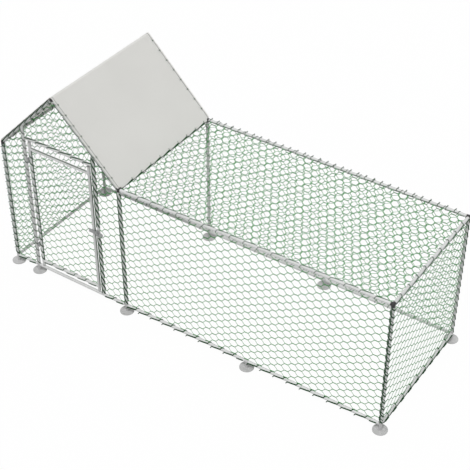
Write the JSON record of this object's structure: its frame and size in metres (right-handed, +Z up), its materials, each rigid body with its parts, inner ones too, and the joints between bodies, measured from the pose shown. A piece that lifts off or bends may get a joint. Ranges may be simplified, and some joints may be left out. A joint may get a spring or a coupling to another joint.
{
  "type": "chicken run",
  "caption": "Free-standing chicken run of galvanised round tube: a gabled bay with a hinged door, hasp latch and cloth roof, beside a flat-topped run, closed with hexagonal wire netting.",
  "frame": {"origin": "on the ground, under the middle of the frame", "axes": "+X along the length from the gabled bay to the run's end, +Y from the door side to the back, +Z up"},
  "size_m": [3.1, 1.1, 1.5682],
  "materials": {
    "galvanised_tube": "galvanised, satin, faintly mottled",
    "foot_steel": "galvanised plate, dull grey",
    "zinc_hardware": "zinc plated, satin",
    "black_plastic": "moulded, fine grain",
    "green_wire": "coated steel wire, semi-gloss",
    "roof_cloth": "coated woven polyester, soft sheen"
  },
  "bodies": {
    "frame": {"feet_corner": "foot_steel", "feet_line": "foot_steel", "feet_mid": "foot_steel", "threshold_tee": "galvanised_tube", "rail_bottom_hinge_side": "galvanised_tube", "threshold_tube": "galvanised_tube", "rail_bottom_latch_side": "galvanised_tube", "rails_bottom_front_run": "galvanised_tube", "rail_bottom_back_bay": "galvanised_tube", "rails_bottom_back_run": "galvanised_tube", "rail_bottom_left": "galvanised_tube", "rail_bottom_right": "galvanised_tube", "post_front_left": "galvanised_tube", "post_hinge": "galvanised_tube", "post_latch": "galvanised_tube", "post_front_joint": "galvanised_tube", "post_front_right": "galvanised_tube", "post_back_left": "galvanised_tube", "post_back_joint": "galvanised_tube", "post_back_right": "galvanised_tube", "rail_top_front": "galvanised_tube", "rail_top_back": "galvanised_tube", "rail_top_right": "galvanised_tube", "eave_tube_joint": "galvanised_tube", "eave_tube_left": "galvanised_tube", "ridge_tube": "galvanised_tube", "rafter_front_left": "galvanised_tube", "rafter_front_right": "galvanised_tube", "rafter_back_left": "galvanised_tube", "rafter_back_right": "galvanised_tube", "door_header": "galvanised_tube", "connectors_eave": "black_plastic", "connectors_ridge": "black_plastic", "connectors_joint": "black_plastic", "connectors_corner": "black_plastic", "net_front_run": "green_wire", "net_hinge_side": "green_wire", "net_latch_side": "green_wire", "net_gable": "green_wire", "net_back_bay": "green_wire", "net_back_run": "green_wire", "net_left": "green_wire", "net_right": "green_wire", "net_top": "green_wire", "roof_cover": "roof_cloth", "hinge_pintles": "zinc_hardware", "staple_plate": "zinc_hardware", "staple_bolts": "zinc_hardware"},
    "door": {"door_stile_hinge": "galvanised_tube", "door_stile_latch": "galvanised_tube", "door_rail_top": "galvanised_tube", "door_rail_bottom": "galvanised_tube", "door_net": "green_wire", "hinge_eyes": "zinc_hardware", "hasp_plate": "zinc_hardware", "hasp_pin": "zinc_hardware", "hasp_bolts": "zinc_hardware"},
    "hasp": {"hasp_leaf": "zinc_hardware"},
    "staple": {"staple": "zinc_hardware"}
  },
  "joints": [
    {"name": "door_swing", "type": "hinge", "parent": "frame", "child": "door", "pos_m": [-1.275, -0.5, 0.6], "axis": [0, 0, -1], "range_deg": [0, 110]},
    {"name": "hasp_swing", "type": "hinge", "parent": "door", "child": "hasp", "pos_m": [-0.726, -0.5147, 0.605], "axis": [0, 0, -1], "range_deg": [0, 150]},
    {"name": "staple_turn", "type": "hinge", "parent": "frame", "child": "staple", "pos_m": [-0.7, -0.512, 0.605], "axis": [0, 1, 0], "range_deg": [0, 90]}
  ]
}
